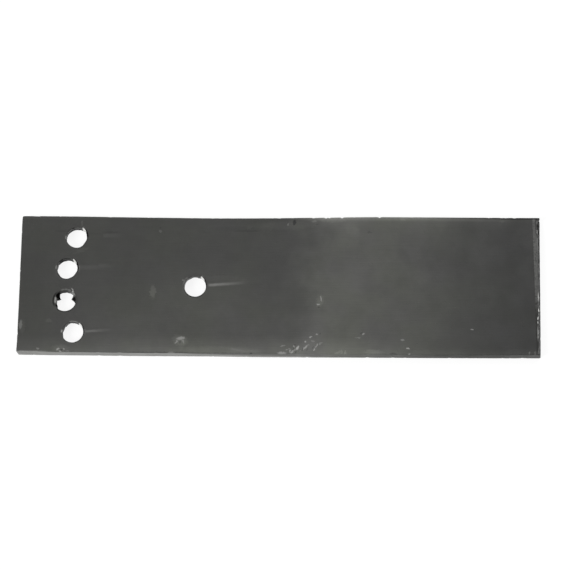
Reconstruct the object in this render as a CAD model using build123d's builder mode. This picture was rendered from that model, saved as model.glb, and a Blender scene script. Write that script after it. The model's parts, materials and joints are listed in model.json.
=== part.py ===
from build123d import *
from math import asin, cos, degrees, radians, sin, sqrt
import os

# A plough landside plate: a length of rolled flat bar, sheared at both ends, that bears against the
# furrow wall. One pivot hole and an arc of four adjusting holes are punched through it from its worn
# face. The origin is in the middle of the back face. +X runs away from the holed end, +Y to the top
# edge and +Z out of the worn face. All lengths are in millimetres and all angles in degrees.

# Flat bar
plate_length = 437.5
plate_width = 121.0
plate_thickness = 10.0
corner_radius = 1.4        # corners of the outline
face_edge_radius = 0.9     # rolled and worn edges round the worn face
back_edge_radius = 0.5     # edges round the back face

# Long edges, worn out of straight. Each fall is how far an edge has fallen back at a corner.
hollow_depth = 1.65        # shallow hollow worn into the top edge
hollow_place = 172.0       # its deepest point, from the holed end
hollow_end = 312.0         # where the top edge is straight again, from the holed end
top_fall = 0.3             # of the top edge at the holed end
lower_fall_holed = 1.0     # of the bowed lower edge at the holed end
lower_fall_plain = 0.4     # of the bowed lower edge at the plain end

# Holes, all for the same bolt
bore_diameter = 18.0
land_depth = 3.2           # burnished straight wall left by the punch
mouth_roll = 0.6           # radius that the punch draws down round a mouth
torn_mouth_roll = 1.3      # the same at the torn hole
adjusting_tear = 1.1       # how much wider each side of a hole is torn at the back face
pivot_tear = 2.5           # the same at the pivot hole

# Hole places: the adjusting holes lie on an arc round the pivot hole, evenly spread over the width
# that is left between the edge distances of the outermost two, which makes them 15 degrees apart
pivot_from_end = 147.9
pivot_below_middle = 1.95
adjusting_radius = 110.0
edge_distance = 18.4       # from a long edge to the outermost hole's centre
adjusting_turn = 0.7       # the whole arc sits turned by this much, upwards
adjusting_count = 4
torn_hole = 2              # counted from the top, the first is 0

# Torn flakes of the slug, still fast to the wall of the torn hole. Each is a tongue that reaches in
# from the wall, with the directions of its first root corner, its tip and its last root corner.
flake_thickness = 2.4
flake_taper = 14.0
left_flake_reach = 4.0
left_flake_directions = (126.0, 150.0, 166.0)
right_flake_reach = 2.6
right_flake_directions = (-6.0, 27.0, 42.0)

# Sheared plain end: the blade rolls the worn face down, more at the top edge than at the lower one,
# and the metal tears away below the roll, so the back of the plate is longer than its face.
roll_run_top = 3.0
roll_run_bottom = 1.2
roll_drop = 1.1
tear_run_top = 2.7
tear_run_bottom = 1.5
tear_foot = 0.8            # height at the back where the end is still square

# Sheared holed end: cut from the other side, so it only leans in towards the back
holed_end_lean = 0.8

half_length = plate_length / 2
half_width = plate_width / 2
bore_radius = bore_diameter / 2
beyond = 2.0               # how far a cutting solid runs past what it cuts

pivot_place = (-half_length + pivot_from_end, -pivot_below_middle)
half_spread = degrees(asin((half_width - edge_distance) / adjusting_radius))
adjusting_step = 2 * half_spread / (adjusting_count - 1)

# A shallow arc falls back with the square of the distance from its lowest point, which puts that
# point nearer to the corner that has fallen back less
bow_lean = sqrt(lower_fall_holed / lower_fall_plain)
bow_place = half_length * (bow_lean - 1) / (bow_lean + 1)


def adjusting_place(index):
    """Centre of an adjusting hole on the arc round the pivot, the topmost being index 0."""
    angle = radians(180 - adjusting_turn - half_spread + index * adjusting_step)
    across = pivot_place[0] + adjusting_radius * cos(angle)
    return across, pivot_place[1] + adjusting_radius * sin(angle)


def punched_hole(roll, tear):
    """Cutter for one hole: a drawn-down mouth, a straight land and a cone torn out to the back."""
    exit_radius = bore_radius + tear
    land_foot = plate_thickness - roll - land_depth
    with BuildPart() as cutter:
        with BuildSketch(Plane.XZ):
            with BuildLine():
                mouth = CenterArc(
                    (bore_radius + roll, plate_thickness - roll), roll, 90, 90
                )
                Polyline(
                    mouth @ 1,
                    (bore_radius, land_foot),
                    (exit_radius, 0),
                    (exit_radius, -beyond),
                    (0, -beyond),
                    (0, plate_thickness + beyond),
                    (bore_radius + roll, plate_thickness + beyond),
                    mouth @ 0,
                )
            make_face()
        revolve(axis=Axis.Z)
    return cutter.part


def flake(reach, directions):
    """One torn tongue, its root sunk in the wall, pointing at the middle of the torn hole."""
    first_root, tip_direction, last_root = directions
    root_radius = bore_radius + adjusting_tear + beyond
    tip_radius = bore_radius - reach
    land_foot = plate_thickness - torn_mouth_roll - land_depth
    with BuildPart() as tongue:
        with BuildSketch(Plane.XY.offset(land_foot - flake_thickness)):
            with BuildLine():
                root = CenterArc((0, 0), root_radius, first_root, last_root - first_root)
                angle = radians(tip_direction)
                tip = (tip_radius * cos(angle), tip_radius * sin(angle))
                Line(root @ 1, tip)
                Line(tip, root @ 0)
            make_face()
        extrude(amount=flake_thickness, taper=flake_taper)
    return tongue.part


def plain_end_profile(roll_run, tear_run):
    """What the shear takes off the plain end at one long edge, as corners in the XZ plane."""
    outside = half_length + beyond
    return [
        (half_length, tear_foot),
        (half_length - tear_run, plate_thickness - roll_drop),
        (half_length - tear_run - roll_run, plate_thickness),
        (half_length - tear_run - roll_run, plate_thickness + beyond),
        (outside, plate_thickness + beyond),
        (outside, tear_foot),
    ]


with BuildPart() as plain_end_cut:
    with BuildSketch(Plane.XZ.offset(-half_width - beyond)):
        with BuildLine():
            Polyline(*plain_end_profile(roll_run_top, tear_run_top), close=True)
        make_face()
    with BuildSketch(Plane.XZ.offset(half_width + beyond)):
        with BuildLine():
            Polyline(*plain_end_profile(roll_run_bottom, tear_run_bottom), close=True)
        make_face()
    loft(ruled=True)

with BuildPart() as holed_end_cut:
    with BuildSketch(Plane.XZ.offset(-half_width - beyond)):
        with BuildLine():
            Polyline(
                (-half_length, plate_thickness - face_edge_radius - land_depth),
                (-half_length + holed_end_lean, 0),
                (-half_length + holed_end_lean, -beyond),
                (-half_length - beyond, -beyond),
                (-half_length - beyond, plate_thickness - face_edge_radius - land_depth),
                close=True,
            )
        make_face()
    extrude(amount=plate_width + 2 * beyond)

with BuildPart() as plate:
    with BuildSketch():
        with BuildLine():
            worn_top = Spline(
                (-half_length, half_width - top_fall),
                (-half_length + hollow_place, half_width - hollow_depth),
                (-half_length + hollow_end, half_width),
                tangents=[(1, 0), (1, 0)],
            )
            Line(worn_top @ 1, (half_length, half_width))
            plain_corner = (half_length, -half_width + lower_fall_plain)
            holed_corner = (-half_length, -half_width + lower_fall_holed)
            Line((half_length, half_width), plain_corner)
            ThreePointArc(plain_corner, (bow_place, -half_width), holed_corner)
            Line(holed_corner, worn_top @ 0)
        make_face()
        outline_corners = vertices().group_by(Axis.X)[0] + vertices().group_by(Axis.X)[-1]
        fillet(outline_corners, corner_radius)
    extrude(amount=plate_thickness)

    fillet(edges().group_by(Axis.Z)[-1], face_edge_radius)
    fillet(edges().group_by(Axis.Z)[0], back_edge_radius)

    add(plain_end_cut.part, mode=Mode.SUBTRACT)
    add(holed_end_cut.part, mode=Mode.SUBTRACT)

    with Locations(pivot_place):
        add(punched_hole(mouth_roll, pivot_tear), mode=Mode.SUBTRACT)
    for index in range(adjusting_count):
        roll = torn_mouth_roll if index == torn_hole else mouth_roll
        with Locations(adjusting_place(index)):
            add(punched_hole(roll, adjusting_tear), mode=Mode.SUBTRACT)
    with Locations(adjusting_place(torn_hole)):
        add(flake(left_flake_reach, left_flake_directions))
        add(flake(right_flake_reach, right_flake_directions))

plate.part.label = "landside_plate"
os.makedirs("parts", exist_ok=True)
export_step(plate.part, "parts/landside_plate.step")
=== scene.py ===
# %% [markdown]
# # A plough landside plate, punched and sheared from flat bar
#
# The plate bears against the furrow wall, so all its character is in small things: edges worn out
# of straight, holes that a punch has drawn down and torn open, a sheared end, and dark steel that
# soil has rubbed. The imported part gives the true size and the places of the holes. This file lays a
# dense skin over it, gives the skin its finish, and sets up floor, light and camera.

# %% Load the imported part
import json

import bpy
import numpy as np
from mathutils import Matrix, Vector
from mathutils.geometry import delaunay_2d_cdt


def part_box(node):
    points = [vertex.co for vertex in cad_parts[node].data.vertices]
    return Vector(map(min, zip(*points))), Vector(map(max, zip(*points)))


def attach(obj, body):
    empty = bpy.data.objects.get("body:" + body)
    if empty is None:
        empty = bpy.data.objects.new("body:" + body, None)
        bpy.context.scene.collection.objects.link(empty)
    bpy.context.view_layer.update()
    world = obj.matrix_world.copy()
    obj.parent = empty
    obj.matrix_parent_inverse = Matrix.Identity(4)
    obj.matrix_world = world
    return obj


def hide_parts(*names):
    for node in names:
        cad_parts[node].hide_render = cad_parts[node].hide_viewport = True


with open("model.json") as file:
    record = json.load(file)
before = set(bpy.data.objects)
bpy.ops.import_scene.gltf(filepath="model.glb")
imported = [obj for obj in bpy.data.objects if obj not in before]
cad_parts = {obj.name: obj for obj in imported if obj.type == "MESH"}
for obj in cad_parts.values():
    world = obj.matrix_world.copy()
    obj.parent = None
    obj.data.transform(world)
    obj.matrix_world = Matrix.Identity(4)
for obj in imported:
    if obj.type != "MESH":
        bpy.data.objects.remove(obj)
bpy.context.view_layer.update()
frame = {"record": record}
MM = 0.001

low, high = (np.array(corner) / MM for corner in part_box("landside_plate"))
length, width, thickness = high - low
print("plate in mm:", np.round([length, width, thickness], 2))

# %% [markdown]
# The record names the bores that a bolt can use. The third hole of the arc has no such entry,
# because torn metal blocks it, but it lies on the same circle round the pivot, so its place is two
# steps along the arc from the first. Each hole's list tells how it differs from its neighbours:
#
# - how far its worn mouth has wandered, its rolled mouth and how much each side is torn at the back,
# - the direction of the notch in degrees and its depth in millimetres,
# - burrs that reach in from the wall, each with a direction, a half spread and a reach,
# - light strokes, which are painted light and glints with some bare metal, and dark strokes, which are
#   painted shade with some dirt, each with a direction, a half spread, a first and last row down the
#   wall, and a strength,
# - flakes of the slug, each with the directions of its root's start, its tip and its root's end, then
#   its reach and the depths of its top and its foot.

# %% Find the holes
mounts = {mount["name"]: mount for mount in frame["record"]["mounts"]}


def bore_centre(name):
    """Centre of a bore on the plate, in millimetres."""
    return np.array(mounts[name]["pos_m"][:2]) / MM


pivot = bore_centre("pivot_bore")
first, last = bore_centre("adjusting_bore_1") - pivot, bore_centre("adjusting_bore_4") - pivot
first_turn = np.arctan2(first[1], first[0])
last_turn = np.arctan2(last[1], last[0]) % (2 * np.pi)
torn_turn = first_turn + (last_turn - first_turn) * 2 / 3
arc_radius = np.linalg.norm(first)
torn_centre = pivot + arc_radius * np.array([np.cos(torn_turn), np.sin(torn_turn)])

bore_radius = mounts["pivot_bore"]["dims"]["r_mm"]
land_depth = mounts["pivot_bore"]["dims"]["length_mm"]
mouth_roll = 0.6
torn_mouth_roll = 1.3
pivot_tear = 2.5
adjusting_tear = 1.1
wide_tear = 2.3
# In each hole, the light strokes are painted light and glints, the dark strokes painted shade with some
# dirt.
holes = [
    {"centre": pivot + (0, 0.4), "roll": mouth_roll, "tear": pivot_tear, "notch": (61, 1.0), "burrs": [],
     "light": [(150, 36, 9, 30, 0.32), (150, 32, 2, 8, 0.14)],
     "dark": [(22, 36, 4, 11, 1.0), (262, 78, 4, 10, 0.8)]},
    {"centre": bore_centre("adjusting_bore_1"), "roll": mouth_roll, "tear": adjusting_tear,
     "notch": (62, 1.0), "burrs": [(-12, 48, 0.75), (318, 34, 0.3)],
     "light": [(180, 12, 4, 9, 0.5), (140, 40, 10, 30, 0.12)],
     "dark": [(26, 32, 4, 11, 1.0), (112, 10, 7, 13, 0.8), (262, 74, 5, 10, 0.5)]},
    {"centre": bore_centre("adjusting_bore_2") + (0.35, 0), "roll": mouth_roll, "tear": adjusting_tear,
     "notch": (59, 0.8), "burrs": [(190, 55, 0.8), (-10, 45, 0.3), (312, 40, 0.4)],
     "light": [(173, 14, 4, 9, 0.28), (0, 22, 2, 3, 0.16)],
     "dark": [(18, 40, 4, 11, 1.0), (126, 18, 7, 16, 0.9), (92, 28, 8, 14, 0.5), (262, 74, 5, 10, 0.6)]},
    {"centre": torn_centre + (0, 0.3), "roll": torn_mouth_roll, "tear": adjusting_tear,
     "notch": (54, 0.5), "burrs": [(188, 44, 1.8)],
     "light": [(176, 24, 7, 12, 0.6), (88, 34, 4, 8, 0.18)],
     "dark": [(24, 24, 10, 30, 0.9), (-4, 26, 10, 30, 0.6), (8, 44, 4, 5, 0.35), (138, 30, 9, 30, 1.0),
              (172, 52, 4, 6, 0.6), (212, 12, 7, 30, 0.9), (270, 60, 4, 9, 0.4), (98, 36, 10, 30, 0.7)],
     "flakes": [(122, 150, 168, 4.2, 3.2, 6.4), (-8, 24, 42, 3.2, 3.2, 6.4)]},
    {"centre": bore_centre("adjusting_bore_4") + (0.4, 0.4), "roll": mouth_roll, "tear": wide_tear,
     "notch": (57, 0.6), "burrs": [(174, 40, 0.62), (-2, 48, 0.2), (312, 40, 0.35), (142, 36, 0.5)],
     "light": [(175, 10, 4, 9, 0.5), (86, 32, 4, 7, 0.36), (138, 40, 10, 30, 0.28), (2, 20, 2, 3, 0.16)],
     "dark": [(16, 44, 4, 11, 1.0), (262, 74, 5, 10, 0.4), (96, 26, 8, 12, 0.5)]},
]
print("holes at:", [np.round(hole["centre"], 1).tolist() for hole in holes])

# %% [markdown]
# ## Unevenness
#
# Nothing on a rolled, sheared and worn bar is quite straight. Blender's noise works in a material,
# but the skin needs unevenness in its points. A sum of plane waves in random directions gives a
# smooth random height for any number of points at once, without a loop over them.

# %% Random heights from plane waves
def ripple(points, wavelength, seed, waves=28):
    """Smooth random height of about -1 to 1: plane waves of nearly one length, summed and scaled."""
    draw = np.random.default_rng(seed)
    headings = draw.normal(size=(waves, points.shape[-1]))
    headings /= np.linalg.norm(headings, axis=1, keepdims=True)
    lengths = wavelength * draw.uniform(0.7, 1.6, waves)
    phases = draw.uniform(0, 2 * np.pi, waves)
    swings = np.sin(points @ (headings.T * (2 * np.pi / lengths)) + phases)
    return swings.sum(-1) / np.sqrt(2 * waves)


def crags(points, wavelength, seed):
    """Sharp ridges from 0 to about 1: one minus the size of a smooth random height, squared."""
    return (1 - np.minimum(np.abs(ripple(points, wavelength, seed)), 1)) ** 2


def ease(value, start, end):
    """0 before start, 1 after end and a smooth S between: 3t2 - 2t3 of the clipped share t."""
    share = np.clip((value - start) / (end - start), 0, 1)
    return share * share * (3 - 2 * share)


def bell(distance):
    """1 at no distance and close to 0 from a distance of 2: e to the power of minus its square."""
    return np.exp(-(distance**2))


print("ripple at the holes:", ripple(np.array([hole["centre"] for hole in holes]), 60, 3).round(2))

# %% [markdown]
# ## The outline
#
# The plate's outline is a rectangle with small round corners. Each of its points keeps a partner on
# an inner rectangle, and the space between the two is where the rounded rim is built, so rows of
# the rim never cross at the corners, as plain offsets would.

# %% Outline and inner loop
corner_radius = 0.8
inner_radius = 0.6
rim_insets_xy = np.array([8.0, 4.4])
rim_step = 0.8
corner_steps = 7


def loop(inset, radius):
    """Anticlockwise rounded rectangle: four straight runs joined by quarter circles.

    Steps along a run s from -1 to 1 are straight * s + (run - straight) * s ** 5, so that partners
    on two loops stand square to the edge everywhere but close to the corners.
    """
    straight = np.array([length, width]) / 2 - corner_radius
    half = np.array([length, width]) / 2 - inset - radius
    turns = np.linspace(0, np.pi / 2, corner_steps + 2)[1:-1]
    points, normals = [], []
    for side in range(4):
        across, along = (0, 1) if side % 2 == 0 else (1, 0)
        turn = side * np.pi / 2
        normal = np.array([np.cos(turn), np.sin(turn)])
        forward = np.array([-np.sin(turn), np.cos(turn)])
        share = np.linspace(-1, 1, int(2 * straight[along] / rim_step))[:, None]
        steps = straight[along] * share + (half[along] - straight[along]) * share**5
        spokes = np.stack([np.cos(turn + turns), np.sin(turn + turns)], -1)
        points.append(normal * (half[across] + radius) + forward * steps)
        points.append(normal * half[across] + forward * half[along] + radius * spokes)
        normals += [np.broadcast_to(normal, (len(steps), 2)), spokes]
    return np.concatenate(points), np.concatenate(normals)


outer, outward = loop(0, corner_radius)
inner, _ = loop(rim_insets_xy, inner_radius)
rim_width = (outward**2 * rim_insets_xy).sum(-1)
print("outline points:", len(outer))

# %% [markdown]
# The long edges are worn out of straight. The top edge has a long shallow hollow. The lower edge
# bows, with its fullest point a little right of the middle, and falls back towards both corners.

# %% Wear of the long edges
hollow_depth = 1.65
hollow_x = low[0] + 172
hollow_end = low[0] + 312
top_fall = 0.3
lower_fall_holed = 1.0
lower_fall_plain = 0.4

x = outer[:, 0]
into_hollow = top_fall + (hollow_depth - top_fall) * ease(x, low[0], hollow_x)
top_wear = into_hollow - hollow_depth * ease(x, hollow_x, hollow_end)
bow_lean = np.sqrt(lower_fall_holed / lower_fall_plain)
bow_x = high[0] * (bow_lean - 1) / (bow_lean + 1)
lower_wear = lower_fall_plain * ((x - bow_x) / (high[0] - bow_x)) ** 2
height_share = (outer[:, 1] - low[1]) / width
outer[:, 1] += (1 - height_share) * lower_wear - height_share * top_wear
print("fullest point of the lower edge at x in mm:", round(float(bow_x), 1))

# %% [markdown]
# Nicks are knocked into the edges. The larger ones are placed where they belong along the top edge.
# The many small ones are drawn at random. Each is a bell-shaped bite that pushes the outline in.
#
# Over longer stretches the edges stand out or fall back by a few tenths of a millimetre. The plain
# end tapers towards its lower corner, and the holed end flares out at its own.

# %% Nicks in the edges
top_nicks_x = np.array([27.8, 38.4, 41.2, 52.0, 83.6, 10.5])
top_nicks_depth = np.array([0.9, 1.2, 0.8, 0.9, 0.8, 0.3])
draw = np.random.default_rng(11)
small_nicks = 70
lower_swell = 0.14 - 0.22 * bell((x + 60) / 32)
top_swell = 0.26 + 0.22 * bell((x - 85) / 38) - 0.14 * ease(x, 120, 200)
low_corner = 1 - ease(height_share, 0, 0.09)
plain_taper = (0.35 * (1 - height_share) + 0.14 * low_corner) * np.clip(outward[:, 0], 0, 1)
holed_flare = 0.36 * low_corner * np.clip(-outward[:, 0], 0, 1)
swell = (1 - height_share) * lower_swell + height_share * top_swell - plain_taper + holed_flare
nick_index = draw.integers(0, len(outer), small_nicks)
nick_places = np.concatenate(
    [np.stack([top_nicks_x, np.full(len(top_nicks_x), high[1])], -1), outer[nick_index]]
)
nick_depths = np.concatenate([top_nicks_depth, draw.uniform(0.05, 0.25, small_nicks)])
nick_widths = np.concatenate([np.full(len(top_nicks_x), 0.9), draw.uniform(0.5, 1.6, small_nicks)])
nick_gaps = np.linalg.norm(outer[:, None] - nick_places, axis=-1) / nick_widths
nicks = (nick_depths * bell(nick_gaps)).sum(-1)
wander = 0.06 * ripple(outer, 60, 3) + 0.03 * ripple(outer, 9, 4)
outer += outward * (swell + wander - nicks)[:, None]
print("deepest nick in mm:", round(float(nicks.max()), 2))

# %% [markdown]
# ## The rim
#
# Seen in section, each kind of edge has its own profile from the worn face round to the back:
#
# - the rolled long edges are rounded, more where soil has worn them,
# - the plain end was sheared from the worn face: rolled down to a facet and then torn outwards, so
#   its back reaches further than its face, but for a short stub at its top corner that is nearly square,
# - the holed end was sheared from the back: a small round, then leaning in.
#
# A bevel would round all of them alike, so each profile is worked out. Every profile has the same
# number of rows, so round the corners one can fade into the next, by the squares of the outward
# direction's two parts, which always add up to one.

# %% Profiles of the three kinds of edge
face_rows, round_rows, side_rows, back_rows = 4, 7, 10, 4
back_round = 0.5
holed_run = 0.7
holed_drop = 0.8
holed_lean = 0.8


def profile(face_run, face_drop, lean, side_shares=(0.0, 1.0), lean_shares=(0.0, 1.0), flat=False):
    """Inset and height of each row: along the face, round a quarter ellipse, down, and to the back.

    lean is the inset at the head of the side and at its foot. Down the side the inset goes from one
    to the other as lean_shares say, at the depths that side_shares give. With flat, a straight
    facet takes the place of the quarter ellipse.
    """
    head, foot = lean
    along = rim_width + np.linspace(0, 1, face_rows + 1)[:-1, None] * (face_run - rim_width)
    facet = np.linspace(0, 1, round_rows)[:, None]
    turn = facet * np.pi / 2
    round_inset = face_run - (face_run - head) * (facet if flat else np.sin(turn))
    round_height = thickness - face_drop * (facet if flat else 1 - np.cos(turn))
    share = np.linspace(0, 1, side_rows + 1)[1:, None]
    side_inset = head + (foot - head) * np.interp(share, side_shares, lean_shares)
    side_height = thickness - face_drop + (back_round - thickness + face_drop) * share
    back_turn = np.linspace(0, np.pi / 2, back_rows)[1:, None]
    back_inset = foot + back_round * (1 - np.cos(back_turn))
    back_height = back_round * (1 - np.sin(back_turn)) + 0 * face_run
    insets = np.concatenate([along, round_inset, side_inset, back_inset, rim_width[None]])
    heights = np.concatenate([
        thickness + 0 * along, round_height, side_height, back_height, 0 * rim_width[None],
    ])
    return insets, heights


x = outer[:, 0]
on_top = outer[:, 1] > 0
zero = np.zeros(len(outer))
rolled_off = ease(x, 22, 34) * (1 - 0.6 * ease(x, 112, 150))
top_run = 0.3 + 1.3 * rolled_off
worn_corner = 1 - ease(x, -205, -180)
lower_run = 0.35 + 0.9 * worn_corner
long_run = np.where(on_top, top_run, lower_run)
long_drop = np.where(on_top, 0.3, 0.4 + 0.3 * worn_corner)
long_insets, long_heights = profile(long_run, long_drop, (zero, zero))

torn_back = 1.5 * ease(height_share, 0.8, 0.97)
corner_stub = ease(height_share, 0.980, 0.993)
plain_run = 3.9 + 2.8 * height_share
plain_tear = (2.0 + 1.2 * height_share + torn_back) * (1 - 0.9 * corner_stub)
plain_drop = 1.1 * (1 - 0.6 * corner_stub)
plain_insets, plain_heights = profile(
    plain_run, plain_drop, (plain_tear, zero), (0, 0.35, 0.85, 1), (0, 0.45, 0.97, 1), flat=True
)
holed_insets, holed_heights = profile(
    holed_run + zero, holed_drop + zero, (zero, zero + holed_lean), (0, 0.3, 1), (0, 0, 1)
)

plain_share = np.clip(outward[:, 0], 0, 1) ** 2
holed_share = np.clip(-outward[:, 0], 0, 1) ** 2
long_share = outward[:, 1] ** 2
rim_insets = plain_share * plain_insets + holed_share * holed_insets + long_share * long_insets
rim_heights = plain_share * plain_heights + holed_share * holed_heights + long_share * long_heights
print("rim rows and points:", rim_insets.shape)

# %% [markdown]
# A profile becomes a surface when it is carried along the outline: row by row, each point goes from
# the outer loop towards its partner on the inner loop by its inset. The torn part of the plain end
# is then roughened with crags.

# %% Carry the profiles round the plate
rim_flat = outer + (inner - outer) * (rim_insets / rim_width)[..., None]
rim = np.concatenate([rim_flat, rim_heights[..., None]], -1)
row = np.arange(len(rim))[:, None]
side_start = face_rows + round_rows
side_end = side_start + side_rows
in_side = ease(row, side_start - 1, side_start + 1) * (1 - ease(row, side_end - 2, side_end + 1))
in_tear = ease(row, side_start + 1, side_start + 4) * (1 - ease(row, side_end - 2, side_end + 1))
torn_end = in_tear * plain_share
crag_depth = torn_end * (0.5 * crags(rim, 5, 21) + 0.35 * crags(rim, 2.4, 22)) * ease(row, 0, side_end)
rim[..., :2] -= outward * (crag_depth * (1 - ease(row, side_end - 4, side_end)))[..., None]
rim[..., :2] -= outward * (in_side * (1 - plain_share) * 0.05 * (1 + ripple(rim, 7, 23)))[..., None]
print("rim points:", rim.shape[0] * rim.shape[1])

# %% [markdown]
# ## The punched holes
#
# A punch first draws the face down round the hole, then burnishes a short straight land, and then
# the slug breaks away and leaves a rough wall that widens to the back. A boolean cut would leave all
# holes clean and alike. Here each wall is a grid of angle by row, and its radius is a function of
# both. The bolt has worn a hooked notch into each mouth, all on the same side: it deepens slowly
# round the mouth and ends abruptly. In the torn hole two tongues of the slug are still fast to the
# wall. They are the same grid pulled in towards the middle between certain angles.

# %% Wall of one hole
wall_points = 160
draw_rows, mouth_rows, land_rows, tear_rows = 5, 6, 6, 15
draw_run = 2.2
draw_dip = 0.14
back_run = 1.6
notch_run = 44
angles = np.linspace(0, 2 * np.pi, wall_points, endpoint=False)


def sector(aside, spread):
    """1 in the middle of a span of directions, 0 beyond its spread, in degrees."""
    return 1 - ease(np.abs((aside + 180) % 360 - 180), 0.45 * spread, spread)


def tongue(turn, depth, first, tip, last, reach, top, foot):
    """Inward pull of a torn tongue: a ragged tent over its angles times a plateau over its depth."""
    turned = (np.degrees(turn) - first + 180) % 360 - 180
    rise = np.clip(turned / (tip - first), 0, 1)
    fall = np.clip((last - first - turned) / (last - tip), 0, 1)
    ragged = 1 + 0.15 * np.sin(turned * 0.9) * np.sin(depth * 2.1)
    plateau = ease(depth, top - 0.5, top + 0.3) * (1 - ease(depth, foot - 0.4, foot + 0.6))
    return reach * (np.minimum(rise, fall) ** 0.75) * ragged * plateau


def wall(hole, seed):
    """Grid of points from the drawn face, over the mouth, down the land and the tear, to the back."""
    roll, tear = hole["roll"], hole["tear"]
    land_foot = roll + land_depth
    drawn = np.linspace(0, 1, draw_rows)
    turn = np.linspace(0, np.pi / 2, mouth_rows + 1)[1:]
    torn = np.linspace(0, 1, tear_rows + 1)[1:]
    radii = np.concatenate([
        bore_radius + roll + draw_run * (1 - drawn),
        bore_radius + roll * (1 - np.sin(turn)),
        np.full(land_rows, bore_radius),
        bore_radius + tear * torn,
        [bore_radius + tear + back_run],
    ])
    depths = np.concatenate([
        draw_dip * drawn**2,
        draw_dip + (roll - draw_dip) * (1 - np.cos(turn)),
        np.linspace(roll, land_foot, land_rows + 1)[1:],
        land_foot + (thickness - land_foot) * torn,
        [thickness],
    ])
    turns, depth = np.meshgrid(angles, depths)
    radius = np.broadcast_to(radii[:, None], turns.shape).copy()
    spot = np.stack([radius * np.cos(turns), radius * np.sin(turns), depth], -1)
    in_tear = ease(depth, land_foot, land_foot + 0.8) * (1 - ease(depth, thickness - 0.4, thickness))
    radius += in_tear * (0.3 * ripple(spot, 4, seed) - 0.25 * crags(spot, 2.2, seed + 1))
    radius += 0.08 * ripple(spot[..., :2], 12, seed + 2) * (depth > 0)
    direction, bite = hole["notch"]
    aside = np.degrees(turns) - direction
    hook = np.clip(1 + aside / notch_run, 0, 1) * (1 - ease(aside, 0, 3.5))
    radius += bite * hook * ease(depth, 0, 0.1) * (1 - ease(depth, 2.0, 7.0))
    for middle, spread, reach in hole["burrs"]:
        burr = reach * sector(np.degrees(turns) - middle, spread)
        radius -= burr * ease(depth, 0.1, 0.8) * (1 - ease(depth, 6.5, 9.5))
    for flake in hole.get("flakes", []):
        radius -= tongue(turns, depth, *flake)
    flat = hole["centre"] + radius[..., None] * np.stack([np.cos(turns), np.sin(turns)], -1)
    return np.concatenate([flat, thickness - depth[..., None]], -1)


walls = [wall(hole, 40 + 3 * index) for index, hole in enumerate(holes)]
print("points in each hole's wall:", walls[0].shape[0] * walls[0].shape[1])

# %% [markdown]
# ## Filling the two faces
#
# Between the rim and the holes the faces are flat, so their inside needs no shape of its own, only
# enough points for slight dents. A plain grid of points would not meet round holes, and a fan of
# long triangles would shade badly. A constrained Delaunay fill joins the loops and a grid of free
# points with well-shaped triangles.

# %% Collect points and faces of the whole skin
blocks = []
quads = []
triangles = []


def keep(points):
    """Stores a block of points and returns their numbers in the mesh, in the block's own shape."""
    start = sum(len(block) for block in blocks)
    blocks.append(points.reshape(-1, 3))
    return start + np.arange(points[..., 0].size).reshape(points.shape[:-1])


def weave(numbers, outwards):
    """Quads between neighbouring rows of closed loops, turned to face outwards or inwards."""
    nearer, further = numbers[:-1], numbers[1:]
    corners = [nearer, further, np.roll(further, -1, axis=1), np.roll(nearer, -1, axis=1)]
    quad = np.stack(corners, -1).reshape(-1, 4)
    quads.append(quad if outwards else quad[:, ::-1])


rim_numbers = keep(rim)
weave(rim_numbers, True)
wall_numbers = []
for points in walls:
    wall_numbers.append(keep(points))
    weave(wall_numbers[-1], False)


def turns_left(triangle):
    """True where a triangle's corners run anticlockwise: the cross product of two sides is positive."""
    (ax, ay), (bx, by) = (triangle[:, 1] - triangle[:, 0]).T, (triangle[:, 2] - triangle[:, 0]).T
    return ax * by > ay * bx


def fill(row, pitch, level, upwards):
    """Delaunay triangles between the rim's row and the walls' row, over a grid of free points.

    Triangles inside a hole are dropped. All their corners lie on its ring, in the ring's own
    anticlockwise order.
    """
    rings = [rim_numbers[row]] + [numbers[row] for numbers in wall_numbers]
    ring_points = [rim[row]] + [points[row] for points in walls]
    edges = []
    start = 0
    for ring in rings:
        here = start + np.arange(len(ring))
        edges.append(np.stack([here, np.roll(here, -1)], -1))
        start += len(ring)
    half = np.array([length, width]) / 2 - rim_insets_xy
    counts = np.round(2 * half / pitch).astype(int)
    steps = [np.linspace(-h, h, n + 1)[1:-1] for h, n in zip(half, counts)]
    free = np.stack(np.meshgrid(*steps), -1).reshape(-1, 2)
    centres = np.array([hole["centre"] for hole in holes])
    reaches = np.array([
        np.linalg.norm(points[row][:, :2] - hole["centre"], axis=-1).max()
        for points, hole in zip(walls, holes)
    ])
    gaps = np.linalg.norm(free[:, None] - centres, axis=-1)
    free = free[(gaps > reaches + 0.5 * pitch).all(1)]
    free_points = np.concatenate([free, np.full((len(free), 1), level)], -1)
    numbers = np.concatenate(rings + [keep(free_points)])
    flat = np.concatenate([points[:, :2] for points in ring_points] + [free])
    corners = [Vector(point) for point in flat.tolist()]
    found = delaunay_2d_cdt(corners, np.concatenate(edges).tolist(), [], 1, 1e-6)
    assert len(found[0]) == len(flat), "the fill merged or added points"
    triangle = np.array(found[2])
    ring_sizes = [len(ring) for ring in rings]
    owner = np.repeat(np.arange(len(rings) + 1), ring_sizes + [len(free)])[triangle]
    on_one_wall = (owner == owner[:, :1]).all(1) & (owner[:, 0] > 0) & (owner[:, 0] < len(rings))
    in_hole = on_one_wall & turns_left(flat[np.sort(triangle, axis=1)])
    triangle = triangle[~in_hole]
    wrong = turns_left(flat[triangle]) != upwards
    triangle[wrong] = triangle[wrong][:, ::-1]
    triangles.append(numbers[triangle])


face_pitch = 1.6
back_pitch = 5.0
fill(0, face_pitch, thickness, True)
fill(-1, back_pitch, 0.0, False)
points = np.concatenate(blocks)
print("points:", len(points), "quads:", sum(map(len, quads)), "triangles:", sum(map(len, triangles)))

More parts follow.
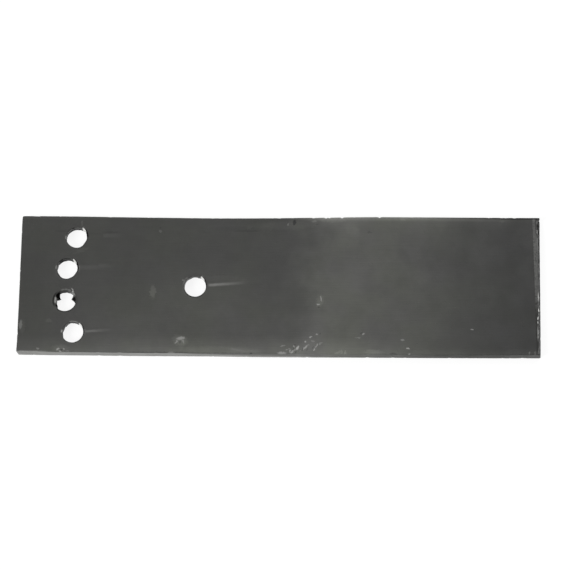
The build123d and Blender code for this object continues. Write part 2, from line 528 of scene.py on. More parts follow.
# %% [markdown]
# ## Dents and waves of the worn face
#
# The worn face is flat only from afar. Long waves of a tenth of a millimetre bend its reflections,
# and a few dents lie under the brightest marks, each with its place, its spread and its depth. They
# fade out with depth, so the back stays flat on the floor. Along the right of the top edge the face
# rolls off gently.

# %% Press the relief into the skin
dents = np.array([
    (-82.4, -48.7, 5.0, 0.30),
    (33.8, -13.5, 3.0, 0.18),
    (12.0, -56.0, 6.0, 0.22),
    (26.0, -48.0, 5.0, 0.20),
    (11.8, 55.4, 1.8, 0.40),
    (-106.8, -7.0, 6.0, 0.12),
    (-182.0, -57.8, 3.0, 0.35),
    (70.2, -42.8, 2.6, 0.15),
    (106.0, -52.0, 3.0, 0.15),
])
gaps = np.linalg.norm(points[:, None, :2] - dents[:, :2], axis=-1) / dents[:, 2]
pressed = (dents[:, 3] * bell(gaps)).sum(-1)
waves = 0.10 * ripple(points[:, :2], 110, 31) + 0.03 * ripple(points[:, :2], 22, 32)
roll_span = ease(points[:, 0], 18, 40) * (1 - ease(points[:, 0], 105, 165))
roll_off = 0.12 * roll_span * ease(points[:, 1], high[1] - 9, high[1]) ** 2
depth_share = ease(points[:, 2], thickness * 0.55, thickness)
lift = depth_share * (waves - pressed - roll_off)
points[:, 2] += lift
print("relief in mm from", round(float(lift.min()), 2), "to", round(float(lift.max()), 2))

# %% [markdown]
# ## Where the finish changes
#
# The material has to know which metal is bare, rubbed or torn, and where light and shade are painted.
# These are worked out here, where rows and places are known, and stored as numbers on the points.
#
# - bare metal and painted light: metal worn free of scale along some edges, painted light from the floor
#   on the near long side, painted highlights on the rounded edges and the plain end's facet, and painted
#   light and glints in strokes down the holes' walls,
# - `rubbed` is the side of each hole's wall that the bolt has polished,
# - `torn` is broken metal, in the holes and on the plain end,
# - painted shade and grime: painted shade with some old dirt, on the walls and lips of the holes, on the
#   long sides and on the sheared end.
#
# On the near long side, painted light from the floor reaches up to a border that falls from the holed end
# to the right.

# %% Work out the masks
bare, rubbed, torn, grimy = (np.zeros(len(points)) for _ in range(4))
rounded = bell((row - face_rows - 0.6 * round_rows) / (0.4 * round_rows))
near_side = ~on_top * long_share
far_side = on_top * long_share

# Painted light from the floor on the near long side, up to a border, and painted highlights on the
# rounded edges.
border_x = [-219, -85, -65, -45, -22, 18, 93]
border_height = [10.4, 9.4, 7.2, 5.8, 4.8, 3.2, 0.0]
border = np.interp(x, border_x, border_height) + 0.3 * ripple(rim, 14, 24)
floor_light_band = ease(border - rim_heights, -0.4, 0.5) * ease(row, face_rows + 0.5 * round_rows, side_start)
near_side_light = near_side * np.maximum(0.66 * floor_light_band, 0.6 * rounded * worn_corner)
far_edge_highlight = far_side * 0.3 * rounded * rolled_off
# Painted highlight on the plain end's facet, and a faint lightening of the holed end's round.
strip = ease(row, face_rows, face_rows + 1) * (1 - ease(row, side_start - 1, side_start + 1))
facet_highlight = 0.23 * strip * ease(height_share, 0.2, 0.5) * (1 - corner_stub)
end_highlight_and_wear = plain_share * facet_highlight + holed_share * 0.1 * rounded
bare[rim_numbers] = near_side_light + far_edge_highlight + end_highlight_and_wear
torn[rim_numbers] = torn_end

# Painted shade: on the near side outside the lit band and below the round, along the far edge towards the
# plain end, and on the sheared end's steep band and foot.
shaded_shear_band = 0.5 * ease(row, side_start - 1, side_start + 1) * ease(height_share, 0.76, 0.92)
foot = ease(row, side_end - 4, side_end - 2)
side_shade_amount = 0.04 + 0.24 * ease(x, 10, 60) * (1 - ease(x, 150, 185))
side_shade = near_side * side_shade_amount * ease(row, face_rows + 3, side_start) * (1 - floor_light_band)
below_round = ease(row, face_rows + 3, side_start) * (1 - ease(row, side_start, side_start + 6))
near_round_shade = near_side * 0.18 * ease(x, 90, 140) * below_round
far_line = ease(row, face_rows - 1.5, face_rows) * (1 - ease(row, side_start, side_start + 2))
far_edge_shade = far_side * 0.8 * ease(x, 120, 200) * far_line
end_shade = plain_share * np.maximum(shaded_shear_band, foot)
grimy[rim_numbers] = np.clip(side_shade + near_round_shade + far_edge_shade + end_shade, 0, 1)

wall_row = np.arange(len(walls[0]))[:, None]


def strokes(turned, marks):
    """The strongest of several strokes on a wall, each a sector of directions times a span of rows."""
    total = np.zeros(turned.shape)
    for middle, spread, first_row, last_row, strength in marks:
        span = np.clip(wall_row - first_row + 1, 0, 1) * np.clip(last_row + 1 - wall_row, 0, 1)
        total = np.maximum(total, strength * span * sector(turned - middle, spread))
    return total


for hole, numbers, grid in zip(holes, wall_numbers, walls):
    depth = thickness - grid[..., 2]
    land_foot = hole["roll"] + land_depth
    uneven = 0.5 * ripple(grid, 9, 70)
    turned = np.degrees(np.broadcast_to(angles, depth.shape))
    direction, _ = hole["notch"]
    in_hook = ease(turned, direction - 30, direction - 18) * (1 - ease(turned, direction, direction + 3))
    polish = in_hook * ease(depth, 0.2, 0.4) * (1 - ease(depth, 7, 9))
    rubbed[numbers] = polish * (0.45 if "flakes" in hole else 1)
    # Light strokes paint light and glints on the walls, with some bare metal; dark strokes paint shade,
    # with some dirt.
    bare[numbers] = strokes(turned, hole["light"])
    grimy[numbers] = strokes(turned, hole["dark"]) * (1 - in_hook * ease(depth, 0.2, 0.4))
    torn[numbers] = ease(depth + uneven, land_foot - 0.2, land_foot + 0.5) * (1 - ease(depth, 9.4, 9.9))
print("share of points that are torn:", round(float((torn > 0.5).mean()), 3))

# %% [markdown]
# The skin is now one closed surface. It takes the place of the imported plate and rides on its body.

# %% Make the mesh
def new_object(name, data):
    """A new object that holds the given mesh, lamp or camera, linked into the scene."""
    made = bpy.data.objects.new(name, data)
    bpy.context.scene.collection.objects.link(made)
    return made


mesh = bpy.data.meshes.new("landside_plate_skin")
faces = np.concatenate(quads).tolist() + np.concatenate(triangles).tolist()
mesh.from_pydata((points * MM).tolist(), [], faces)
mesh.validate()
for name, values in (("bare", bare), ("rubbed", rubbed), ("torn", torn), ("grimy", grimy)):
    mesh.attributes.new(name, "FLOAT", "POINT").data.foreach_set("value", values)
mesh.shade_smooth()
plate = new_object("landside_plate_skin", mesh)
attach(plate, "root")
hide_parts("landside_plate")
print("skin polygons:", len(mesh.polygons))

# %% [markdown]
# ## Shader helpers
#
# Node trees read better as arithmetic. `put` makes a node and joins or sets its sockets. `calc` and
# `vector` make a Math or Vector Math node, `fade` a smooth step, and each hands back its result.

# %% Helpers for node trees
def put(tree, kind, sockets=None, **settings):
    """A new ShaderNode of the kind, with its settings made and its input sockets set or linked."""
    node = tree.nodes.new("ShaderNode" + kind)
    for name, value in settings.items():
        setattr(node, name, value)
    for name, value in (sockets or {}).items():
        if isinstance(value, bpy.types.NodeSocket):
            tree.links.new(value, node.inputs[name])
        else:
            node.inputs[name].default_value = value
    return node


def calc(tree, operation, a, b=0.0, c=0.0):
    """The result of one Math node."""
    return put(tree, "Math", {0: a, 1: b, 2: c}, operation=operation).outputs[0]


def vector(tree, operation, sockets, output="Vector"):
    """The result of one Vector Math node."""
    return put(tree, "VectorMath", sockets, operation=operation).outputs[output]


def fade(tree, value, start, end, out_start=0.0, out_end=1.0):
    """A smooth step of value from start to end, as a Map Range node."""
    sockets = {"Value": value, "From Min": start, "From Max": end, "To Min": out_start, "To Max": out_end}
    return put(tree, "MapRange", sockets, interpolation_type="SMOOTHSTEP").outputs["Result"]


def new_group(name):
    """A node group that measures a place along and across a mark, and puts out one mask.

    The way from Middle to the place is dotted with Along and with Across. Both point along the
    mark's own axes and are divided by its reach and its half width, so the two results lie between
    -1 and 1 inside the mark.
    """
    group = bpy.data.node_groups.new(name, "ShaderNodeTree")
    for label in ("Place", "Middle", "Along", "Across"):
        group.interface.new_socket(label, in_out="INPUT", socket_type="NodeSocketVector")
    group.interface.new_socket("Mask", in_out="OUTPUT", socket_type="NodeSocketFloat")
    given = group.nodes.new("NodeGroupInput").outputs
    way = vector(group, "SUBTRACT", {0: given["Place"], 1: given["Middle"]})
    along = vector(group, "DOT_PRODUCT", {0: way, 1: given["Along"]}, "Value")
    across = vector(group, "DOT_PRODUCT", {0: way, 1: given["Across"]}, "Value")
    return group, along, across, group.nodes.new("NodeGroupOutput").inputs["Mask"]


# %% [markdown]
# ## Marks on the steel
#
# Two kinds of mark are used again and again, so each is a node group that puts out a mask.
#
# - A drag mark is a thin streak, strongest near its start. It fades in quickly along its length,
#   tapers away, and fades to both sides.
# - A spot is a small round or long patch, solid in the middle and soft at its border. Fed with a
#   shaken place, its border turns ragged, so one noise serves all spots.

# %% Two groups for marks
streaks, along, across, mask = new_group("Drag mark")
starts = fade(streaks, along, -0.03, 0.05)
tails = fade(streaks, along, 0.15, 1.0, 1.0, 0.0)
narrow = fade(streaks, calc(streaks, "ABSOLUTE", across), 0.1, 1.0, 1.0, 0.0)
streaks.links.new(calc(streaks, "MULTIPLY", calc(streaks, "MULTIPLY", starts, tails), narrow), mask)

spots, along, across, mask = new_group("Spot")
squared = calc(spots, "MULTIPLY_ADD", along, along, calc(spots, "MULTIPLY", across, across))
spots.links.new(fade(spots, squared, 0.1, 1.0, 1.0, 0.0), mask)
print("groups:", streaks.name, "and", spots.name)

# %% [markdown]
# ## Dark worn steel
#
# The face is dark mill scale that soil has rubbed lighter in clouds, with a faint lengthwise grain, and
# light and shade are painted into its colour as well.
# The colour is built up in layers, darkest first. A painted image would serve too, but noise and
# placed marks stay sharp from close by, and each can be changed alone. Everything is placed in plate
# millimetres, which a Mapping node makes from Object coordinates.

# %% The steel material
steel = bpy.data.materials.new("worn_landside_steel")
steel.use_nodes = True
tree = steel.node_tree
shader = tree.nodes["Principled BSDF"]
shader.inputs["Specular IOR Level"].default_value = 0.4
place = put(tree, "Mapping", {
    "Vector": put(tree, "TexCoord").outputs["Object"], "Scale": (1 / MM, 1 / MM, 1 / MM),
}).outputs[0]
axes = put(tree, "SeparateXYZ", {0: place}).outputs


def clouds(scale, detail, low_value, high_value, seed, stretch=(1.0, 1.0, 1.0)):
    """Noise of the given scale per millimetre, spread smoothly between two values."""
    moved = put(tree, "Mapping", {
        "Vector": place, "Location": (seed * 37.1, seed * 91.7, seed * 13.3), "Scale": stretch,
    }).outputs[0]
    noise = put(tree, "TexNoise", {"Vector": moved, "Scale": scale, "Detail": detail}).outputs[0]
    return fade(tree, noise, 0.3, 0.7, low_value, high_value)


def chained(operation, values):
    """Math nodes in a row, each of which takes in one more of the values."""
    total = values[0]
    for value in values[1:]:
        total = calc(tree, operation, total, value)
    return total


def product(*values):
    """All the values multiplied."""
    return chained("MULTIPLY", values)


def total_of(*values):
    """All the values added."""
    return chained("ADD", values)


def greatest(*values):
    """The largest of the values."""
    return chained("MAXIMUM", values)


print("material:", steel.name)

# %% [markdown]
# The tone of the scale, with painted light and shade in it: darkest at both ends, which is painted shade,
# lighter towards the lower edge, which is painted light from the floor, and a broad lighter zone right of
# the middle, part rubbed steel and part painted sheen, which starts softly and dies out towards the plain
# end. Thin lighter lines along the two long edges are painted highlights.

# %% Tone of the scale
wavering_x = calc(tree, "ADD", axes["X"], clouds(0.03, 3, -10, 10, 1))
slanted_x = calc(tree, "MULTIPLY_ADD", axes["Y"], -0.22, wavering_x)
rubbed_and_sheen_zone = product(fade(tree, slanted_x, 2, 46), fade(tree, wavering_x, 40, 205, 1.0, 0.0))
# Painted highlights where the face rolls off towards the top edge.
top_highlight_band = product(
    fade(tree, axes["Y"], 44, 61),
    fade(tree, slanted_x, -10, 14),
    fade(tree, axes["X"], 60, 200, 1.0, 0.5),
)
top_highlight_line = product(
    fade(tree, axes["Y"], 56.0, 59.4),
    fade(tree, slanted_x, -2, 15),
    fade(tree, axes["X"], 200, 165, 0.14, 1.0),
)
edge_highlight_line = fade(tree, axes["Y"], 57.2, 59.2)
# Painted light from the floor along the lower edge and over the lower left half.
near_left = product(fade(tree, axes["X"], 130, 60), fade(tree, axes["X"], -150, -85, 0.65, 1.0))
low_floor_light_border = product(fade(tree, axes["Y"], -43, -57), near_left)
low_floor_light_line = fade(tree, axes["Y"], -53, -61)
low_half_light = product(
    fade(tree, axes["Y"], 20, -50), fade(tree, axes["X"], 60, -40), fade(tree, axes["X"], -225, -120),
)
# Painted shade towards the plain end.
plain_end_shade = total_of(
    fade(tree, axes["X"], 60, 215, 0.0, -0.009), fade(tree, axes["X"], 175, 215, 0.0, -0.003),
)
scale_tone = 0.0215
tone = total_of(
    scale_tone,
    product(rubbed_and_sheen_zone, 0.031),
    product(top_highlight_band, 0.015),
    product(low_half_light, 0.014),
    product(low_floor_light_border, 0.024),
    product(low_floor_light_line, 0.011),
    product(top_highlight_line, 0.027),
    product(edge_highlight_line, 0.005),
    plain_end_shade,
)
grain = clouds(1.0, 6, 0.965, 1.035, 4, (0.035, 0.9, 0.9))
tone = product(tone, clouds(0.02, 4, 0.93, 1.07, 2), clouds(0.11, 5, 0.94, 1.06, 3), grain)
warmth = clouds(0.03, 3, 0.0, 1.0, 5)
olive, grey = (1.0, 1.035, 0.88, 1), (1.01, 1.01, 0.95, 1)
tint = put(tree, "Mix", {0: warmth, 6: olive, 7: grey}, data_type="RGBA")
scale_colour = vector(tree, "SCALE", {0: tint.outputs[2], "Scale": tone})
print("nodes for the scale:", len(tree.nodes))

# %% [markdown]
# Each mark was placed one by one. A line gives its place, its turn in degrees, its reach and half width
# in
# millimetres, and its strength. A drag mark reaches one way from its place, its start. A spot reaches
# both ways from its middle. Glows are wide faint spots, and end flecks lie on the sheared plain end.

# %% Marks, placed one by one in plate millimetres
drag_marks = [
    (-60.0, -0.6, 4.3, 38, 2.0, 0.82),
    (-163.0, -42.0, 5, 28, 1.8, 0.5),
    (-169.0, 14.7, 1, 34, 2.8, 0.17),
    (-168.2, 56.5, -88, 8, 1.0, 0.22),
    (-150.0, 43.0, 1, 20, 2.6, 0.11),
    (-153.0, 16.0, 0, 16, 3.0, 0.15),
    (60.0, 20.0, 2, 70, 0.8, 0.06),
    (96.0, -30.0, 2, 44, 0.7, 0.06),
    (-40.0, -56.4, -9, 24, 1.2, 0.25),
    (-26.0, -57.6, -5, 16, 1.0, 0.2),
]
light_spots = [
    (-82.2, -47.3, 8, 4.6, 1.8, 0.75),
    (-85.4, -50.4, 60, 2.4, 0.9, 0.6),
    (-79.8, -50.0, -60, 2.2, 0.9, 0.45),
    (34.8, -12.0, -78, 3.0, 0.8, 0.7),
    (33.0, -17.0, 10, 1.6, 0.9, 0.9),
    (15.8, -55.2, 50, 2.4, 1.3, 1.3),
    (22.4, -54.9, 48, 2.9, 0.9, 0.95),
    (26.8, -45.8, 15, 1.8, 1.0, 0.9),
    (22.0, -49.8, 60, 1.4, 1.0, 0.95),
    (31.7, -43.4, 30, 1.1, 0.7, 0.8),
    (31.4, -53.4, 62, 2.3, 0.8, 0.9),
    (29.8, -56.4, 70, 1.4, 0.8, 1.0),
    (11.4, -58.6, 50, 2.4, 1.2, 0.9),
    (13.6, -57.0, 30, 1.4, 0.7, 0.6),
    (12.8, -53.8, 80, 1.2, 0.6, 0.8),
    (9.6, -57.6, 80, 1.8, 0.6, 0.8),
    (7.0, -57.0, 20, 1.4, 0.6, 0.6),
    (18.0, -57.8, 60, 1.2, 0.6, 0.6),
    (24.6, -52.4, -20, 1.4, 0.6, 0.4),
    (34.2, -52.2, 10, 1.8, 0.7, 0.35),
    (8.6, -56.2, 20, 1.6, 0.6, 0.4),
    (3.2, -53.6, 12, 2.8, 0.8, 0.45),
    (2.6, -59.8, 0, 5.0, 1.2, 0.75),
    (35.2, -50.8, 15, 2.6, 0.9, 0.4),
    (28.4, -49.2, -15, 2.2, 1.1, 0.35),
    (70.6, -42.8, 42, 2.0, 0.7, 0.75),
    (66.2, -46.0, 0, 3.0, 0.7, 0.3),
    (103.2, -47.8, 0, 2.0, 1.1, 0.5),
    (107.6, -55.2, -8, 1.6, 0.8, 1.0),
    (108.8, -60.0, 0, 1.2, 0.7, 0.8),
    (161.0, -38.4, 5, 1.8, 0.7, 0.7),
    (208.6, -58.6, 88, 1.9, 0.9, 0.35),
    (213.4, -58.8, 88, 2.2, 0.7, 0.3),
    (213.5, 57.6, 90, 3.6, 1.6, 0.30),
    (-201.0, -57.2, 0, 1.6, 0.8, 0.45),
    (-184.2, -57.6, 20, 1.6, 1.1, 1.0),
    (-182.4, -59.3, 0, 1.3, 0.8, 1.1),
    (-179.3, -57.2, -50, 1.5, 0.8, 0.75),
    (-176.0, -58.8, 0, 1.9, 0.8, 0.35),
    (6.3, 53.6, 80, 1.8, 0.8, 0.28),
    (28.6, 56.6, 15, 2.6, 1.4, 0.22),
    (-101.4, 47.2, -30, 2.0, 1.2, 0.14),
    (-173.9, -5.2, -60, 2.6, 0.55, 1.2),
    (-81.2, 3.9, 0, 1.0, 0.7, 0.5),
    (-89.4, -59.9, 0, 4.2, 0.7, 0.5),
    (-216.6, -36.0, 86, 5.0, 1.7, 0.35),
]
# Glows are lighter patches: some are rubbed steel, those along the top and lower edges are painted
# highlights.
rubbed_and_lit_glows = [
    (-106.4, -6.4, 88, 7.0, 3.2, 0.60),
    (-106.4, -7.0, 88, 10.0, 3.2, 0.20),
    (-82.2, -49.0, -15, 8.0, 6.0, 0.35),
    (-81.0, -56.0, 90, 4.0, 3.0, 0.15),
    (20.0, -52.5, 32, 26.0, 11.0, 0.07),
    (33.8, -14.0, 80, 7.0, 4.0, 0.18),
    (-44.0, 4.6, -3, 24.0, 5.5, 0.25),
    (-55.0, -58.0, 0, 46.0, 5.0, 0.14),
    (2.0, 53.0, 0, 32.0, 5.0, 0.20),
    (-56.0, 3.2, 0, 7.0, 3.0, 0.12),
    (-25.5, 51.0, 10, 4.0, 1.6, 0.16),
    (-168.0, 29.6, 22, 8.5, 2.0, 0.20),
    (-192.8, -32.6, 0, 3.4, 2.0, 0.24),
    (-62.0, -3.0, 0, 62.0, 34.0, 0.11),
    (-215.0, -38.0, 88, 8.0, 3.4, 0.22),
    (61.0, 48.6, -50, 9.0, 6.0, 0.10),
    (79.0, -58.4, 0, 10.0, 2.4, 0.20),
    (49.6, -59.2, 10, 3.4, 1.6, 0.20),
    (52.6, -58.6, 90, 2.2, 1.0, 0.24),
    (55.8, -58.6, 90, 2.4, 1.0, 0.28),
    (44.0, 58.6, 0, 15.0, 3.4, 0.16),
    (103.0, 58.8, 0, 3.0, 1.6, 0.14),
    (186.8, 57.2, 0, 3.4, 1.3, 0.20),
    (-182.0, -56.6, 0, 9.0, 4.0, 0.18),
]
# Dark spots are partly stains and partly painted shadow: beside chips and nicks, in dark lines along the
# top and lower edges, and over the left end.
stain_and_shadow_spots = [
    (216.6, 59.9, 0, 3.0, 0.9, 0.8),
    (-213.0, 24.0, 90, 42.0, 20.0, 0.13),
    (11.8, 55.6, 85, 3.2, 1.7, 1.1),
    (14.0, -52.6, 0, 1.1, 0.6, 0.6),
    (12.2, -55.8, 70, 1.6, 0.6, 0.7),
    (14.6, -58.8, 90, 1.6, 0.6, 0.8),
    (24.0, -56.6, 60, 1.6, 0.6, 0.4),
    (33.0, -19.4, 0, 1.4, 0.8, 0.6),
    (34.4, -42.9, 40, 1.5, 0.7, 0.5),
    (69.2, -41.8, 42, 2.0, 0.7, 0.6),
    (-82.4, -50.6, 80, 1.6, 0.9, 0.6),
    (-181.2, -57.8, 0, 1.1, 0.9, 0.9),
    (75.2, 47.2, 0, 2.6, 1.3, 0.4),
    (-101.4, 50.0, 0, 1.6, 0.9, 0.4),
    (-28.0, 47.8, 0, 15.0, 1.3, 0.40),
    (-38.0, 49.6, 0, 26.0, 3.0, 0.18),
    (-172.4, 48.8, 20, 4.6, 1.4, 0.85),
    (-168.0, 46.4, -8, 22.0, 1.6, 0.22),
    (-184.0, 46.9, 0, 9.0, 1.1, 0.35),
    (-142.0, 46.3, 0, 9.0, 1.0, 0.30),
    (105.0, 25.0, -60, 10.0, 5.0, 0.14),
    (95.6, -60.0, 0, 4.0, 1.6, 0.5),
    (162.0, -40.4, 0, 6.0, 2.0, 0.15),
    (-22.8, -60.2, 0, 1.8, 0.8, 0.9),
    (-192.0, -34.6, 0, 3.0, 1.0, 0.15),
    (17.6, -57.6, 60, 1.8, 0.7, 0.6),
    (20.2, -56.4, 55, 1.8, 0.6, 0.5),
    (28.6, -54.8, 60, 1.6, 0.7, 0.5),
    (-98.0, -59.9, 0, 44.0, 0.9, 0.45),
    (-46.0, -60.4, 0, 26.0, 0.7, 0.45),
    (31.0, 54.0, 10, 2.0, 0.7, 0.35),
]
# End flecks are painted glints on the torn metal of the plain end.
end_glints = [
    (216.2, 57.0, 90, 1.6, 0.8, 0.35),
    (216.5, 49.4, 90, 3.2, 0.5, 0.65),
    (216.4, 38.0, 90, 10.0, 0.5, 0.3),
    (216.7, -8.8, 90, 5.4, 0.7, 0.7),
    (216.9, -20.2, 90, 2.2, 0.6, 0.9),
    (217.1, -23.8, 0, 1.0, 0.8, 0.6),
    (216.3, -27.4, 80, 2.6, 0.6, 0.85),
    (215.9, -31.6, 88, 2.0, 0.6, 0.8),
    (215.8, -41.0, 90, 8.4, 0.8, 0.6),
    (216.4, -56.0, 90, 3.4, 0.5, 0.3),
]


def greatest_mask(group, marks, place):
    """The greatest mask of a group's nodes, one node for each mark, times its strength."""
    total = 0.0
    for x_mm, y_mm, turn, reach, half_width, strength in marks:
        node = put(tree, "Group", node_tree=group)
        cosine, sine = np.cos(np.radians(turn)), np.sin(np.radians(turn))
        tree.links.new(place, node.inputs["Place"])
        node.inputs["Middle"].default_value = (x_mm, y_mm, 0)
        node.inputs["Along"].default_value = (cosine / reach, sine / reach, 0)
        node.inputs["Across"].default_value = (-sine / half_width, cosine / half_width, 0)
        total = calc(tree, "MAXIMUM", total, calc(tree, "MULTIPLY", node.outputs["Mask"], strength))
    return total


flat_place = put(tree, "CombineXYZ", {0: axes["X"], 1: axes["Y"]}).outputs[0]
wobble = put(tree, "TexNoise", {"Vector": place, "Scale": 0.55, "Detail": 3.0}).outputs["Color"]
wobble = vector(tree, "SUBTRACT", {0: wobble, 1: (0.5, 0.5, 0.5)})


def shaken(amount):
    """The flat place, moved about by noise of up to half the amount in millimetres."""
    return vector(tree, "MULTIPLY_ADD", {0: wobble, 1: (amount, amount, 0), 2: flat_place})


on_face = fade(tree, axes["Z"], thickness - 1.4, thickness - 0.8)
streak_breaks = clouds(0.25, 4, 0.6, 1.0, 12, (0.2, 1.0, 1.0))
dragged = product(on_face, greatest_mask(streaks, drag_marks, shaken(0.8)), streak_breaks)
chipped = product(on_face, greatest_mask(spots, light_spots, shaken(2.8)))
rubbed_and_lit_glowing = product(on_face, greatest_mask(spots, rubbed_and_lit_glows, shaken(5.0)))
stained_and_shaded = product(on_face, greatest_mask(spots, stain_and_shadow_spots, shaken(2.2)))
print("marks:", sum(map(len, (drag_marks, light_spots, rubbed_and_lit_glows, stain_and_shadow_spots, end_glints))))

# %% [markdown]
# Bare metal and painted light show along the edges, but only in places: the stored mask is compared with
# noise, so both have a ragged border. Torn metal on the plain end gets painted glints in flecks, and the
# walls of the holes carry painted shade with some dirt but for the side that the bolt has polished.
# Painted shade and dirt should hardly shine. Treated as a very dark metal they lose their highlight,
# because a metal reflects no more than its own colour.

# %% Bare, rubbed and torn metal
def stored(name):
    """One of the numbers stored on the points."""
    return put(tree, "Attribute", attribute_name=name).outputs["Fac"]


rag = clouds(0.6, 5, 0.0, 1.0, 6)
bareness_and_light = stored("bare")
worn_through = fade(tree, calc(tree, "SUBTRACT", bareness_and_light, product(rag, 0.3)), -0.2, 0.1)
edge_wear_and_light = product(bareness_and_light, worn_through, clouds(0.3, 4, 0.86, 1.12, 13, (0.12, 1.0, 1.0)))
broken = stored("torn")
polish = stored("rubbed")
shade_and_dirt = stored("grimy")
clear_of_shade_and_dirt = calc(tree, "SUBTRACT", 1.0, product(shade_and_dirt, 0.85))
on_end = fade(tree, axes["X"], high[0] - 3.4, high[0] - 2.8)
# Painted glints on the torn plain end, some at random and some placed.
fleck_noise = fade(tree, clouds(0.5, 5, 0.0, 1.0, 7, (1.0, 0.6, 1.0)), 0.5, 0.85)
chance_glints = product(fleck_noise, broken, on_end, 0.45)
placed_glints = product(greatest_mask(spots, end_glints, shaken(1.6)), on_end)
bare_metal_and_light = calc(tree, "MINIMUM", 1.0, greatest(
    edge_wear_and_light, product(dragged, 0.36), product(chipped, 0.55), polish, chance_glints, placed_glints,
))
# Dark spots dim the scale: stains and painted shadow.
stain_and_shade_dimming = calc(tree, "SUBTRACT", 1.0, product(stained_and_shaded, 0.8))
# Glows lift the tone: rubbed steel and painted highlights.
rubbed_and_lit_lift = calc(tree, "ADD", 1.0, product(rubbed_and_lit_glowing, 1.9))
scale_lit = vector(tree, "SCALE", {0: scale_colour, "Scale": product(rubbed_and_lit_lift, stain_and_shade_dimming, clear_of_shade_and_dirt)})

# Painted glints on the plain end take the brightest metal tone, as the polished side does.
metal_tone = fade(tree, greatest(polish, placed_glints), 0.2, 1.0, 0.34, 0.85)
metal_colour = put(tree, "CombineXYZ", {
    0: metal_tone, 1: metal_tone, 2: product(metal_tone, 0.97),
}).outputs[0]
mixed = put(tree, "Mix", {0: bare_metal_and_light, 6: scale_lit, 7: metal_colour}, data_type="RGBA")
tree.links.new(mixed.outputs[2], shader.inputs["Base Color"])
# Painted shade is also made metallic here, so that it loses its highlight.
tree.links.new(greatest(fade(tree, bare_metal_and_light, 0.0, 1.0, 0.1, 0.9), shade_and_dirt), shader.inputs["Metallic"])
roughness = total_of(
    clouds(0.05, 4, 0.42, 0.56, 8),
    product(broken, 0.2),
    product(polish, -0.15),
    product(clear_of_shade_and_dirt, -0.25),
    0.25,
)
tree.links.new(roughness, shader.inputs["Roughness"])
print("nodes with the metal:", len(tree.nodes))

# %% [markdown]
# Pits, lengthwise scratches and the grit of torn metal are too fine for the mesh, so a bump makes
# them. Every form that shows against the light from the side is in the mesh.

# %% Fine relief of the steel
pit_noise = put(tree, "TexNoise", {"Vector": place, "Scale": 0.5, "Detail": 2.0}).outputs[0]
pits = fade(tree, pit_noise, 0.62, 0.76, 0.0, -0.05)
off_end = fade(tree, axes["X"], high[0] - 8, high[0] - 7, 1.0, 0.0)
scratches = product(clouds(1.0, 4, -0.010, 0.010, 10, (0.05, 2.2, 2.2)), off_end)
torn_grit = product(broken, clouds(1.3, 5, -0.25, 0.25, 11))
relief = total_of(pits, scratches, torn_grit)
bump = put(tree, "Bump", {"Height": relief, "Strength": 1.0, "Distance": MM})
tree.links.new(bump.outputs["Normal"], shader.inputs["Normal"])
mesh.materials.append(steel)
print("nodes in the steel:", len(tree.nodes))

# %% [markdown]
# ## Floor and light
#
# The plate lies on a pale floor. For the camera, and for glossy and transmitted rays, the floor adds
# a glow of its own, so that it reaches white while the plate's shadow still darkens it. The lamps
# stay soft and plain: a large one from the left and the near side, which picks out the lower edge
# and the right-hand walls of the holes, a weaker one from the far side, and an even sky.

# %% Pale floor that keeps the shadow
floor_drop = 0.05
floor_half = 4.0
floor_mesh = bpy.data.meshes.new("floor")
turns_round = [(-1, -1), (1, -1), (1, 1), (-1, 1)]
floor_corners = [(u * floor_half, v * floor_half, -floor_drop * MM) for u, v in turns_round]
floor_mesh.from_pydata(floor_corners, [], [(0, 1, 2, 3)])
floor = new_object("floor", floor_mesh)

floor_paint = bpy.data.materials.new("pale_floor")
floor_paint.use_nodes = True
tree = floor_paint.node_tree
tree.nodes.clear()


def seen_directly(tree):
    """1 for camera, glossy and transmitted rays, 0 for the rest."""
    rays = put(tree, "LightPath").outputs
    seen = calc(tree, "MAXIMUM", rays["Is Camera Ray"], rays["Is Glossy Ray"])
    return calc(tree, "MAXIMUM", seen, rays["Is Transmission Ray"])


pale = put(tree, "BsdfDiffuse", {"Color": (0.8, 0.8, 0.8, 1)})
dimmed = put(tree, "BsdfDiffuse", {"Color": (0.17, 0.17, 0.17, 1)})
glow = put(tree, "Emission", {"Color": (1, 1, 1, 1), "Strength": 0.86})
lit = put(tree, "AddShader", {0: dimmed.outputs[0], 1: glow.outputs[0]})
choice = put(tree, "MixShader", {0: seen_directly(tree), 1: pale.outputs[0], 2: lit.outputs[0]})
put(tree, "OutputMaterial", {"Surface": choice.outputs[0]})
floor_mesh.materials.append(floor_paint)
print("floor's side in metres:", 2 * floor_half)

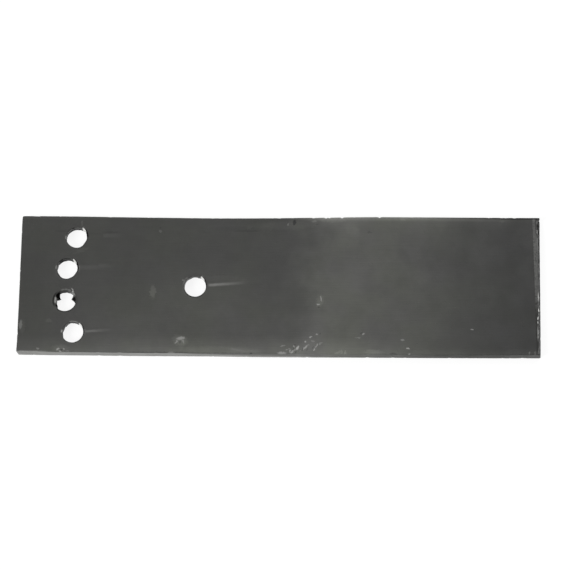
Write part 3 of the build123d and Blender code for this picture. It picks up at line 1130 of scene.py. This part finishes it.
# %% Sky and lamps
world = bpy.data.worlds.new("studio")
bpy.context.scene.world = world
world.use_nodes = True
tree = world.node_tree
tree.nodes.clear()
sky = put(tree, "Background", {"Color": (1, 1, 1, 1), "Strength": 0.55})
white = put(tree, "Background", {"Color": (1, 1, 1, 1), "Strength": 1.0})
choice = put(tree, "MixShader", {0: seen_directly(tree), 1: sky.outputs[0], 2: white.outputs[0]})
put(tree, "OutputWorld", {"Surface": choice.outputs[0]})


def lamp(name, place, size, watts):
    """A square area lamp at a place in metres, aimed at the plate's middle."""
    light = bpy.data.lights.new(name, "AREA")
    light.shape = "SQUARE"
    light.size = size
    light.energy = watts
    aim = -Vector(place)
    turn = aim.to_track_quat("-Z", "Y").to_matrix().to_4x4()
    new_object(name, light).matrix_world = Matrix.Translation(place) @ turn
    print("lamp:", name, "size in metres:", size, "power in watts:", watts)


lamp("near_left_lamp", (-1.4, -0.9, 1.6), 0.8, 30)
lamp("far_lamp", (0.6, 1.4, 2.0), 1.2, 16)

# %% [markdown]
# ## Camera
#
# The view was found by fitting a pinhole camera to the plate's outline and holes. It looks steeply
# down at the worn face, from the near side, through a long lens. Blender's camera looks down its own
# -Z, so an unturned one already faces the worn face. Three turns do the rest.

# %% Camera
image_width = 570
focal_pixels = 3000
sensor_width = 36.0
tilt, swing, roll = np.radians([18.29, 1.86, 0.29])
camera_distance = 2.517
middle_pixel = (279.52, 284.9)

camera_data = bpy.data.cameras.new("camera")
camera_data.sensor_width = sensor_width
camera_data.lens = sensor_width * focal_pixels / image_width
camera_data.clip_end = 50
camera = new_object("camera", camera_data)
turned = Matrix.Rotation(tilt, 4, "X") @ Matrix.Rotation(swing, 4, "Y") @ Matrix.Rotation(roll, 4, "Z")
metres_per_pixel = camera_distance / focal_pixels
aside = Vector((
    (middle_pixel[0] - image_width / 2) * metres_per_pixel,
    (image_width / 2 - middle_pixel[1]) * metres_per_pixel,
    -camera_distance,
))
face_middle = Vector((0, 0, thickness * MM))
camera.matrix_world = Matrix.Translation(face_middle - turned @ aside) @ turned
bpy.context.scene.camera = camera
print("lens in mm:", round(camera_data.lens, 1), "camera at:", [round(v, 3) for v in camera.location])

# %% [markdown]
# The Standard view keeps the tones as they were worked out.

# %% View settings
bpy.context.scene.view_settings.view_transform = "Standard"
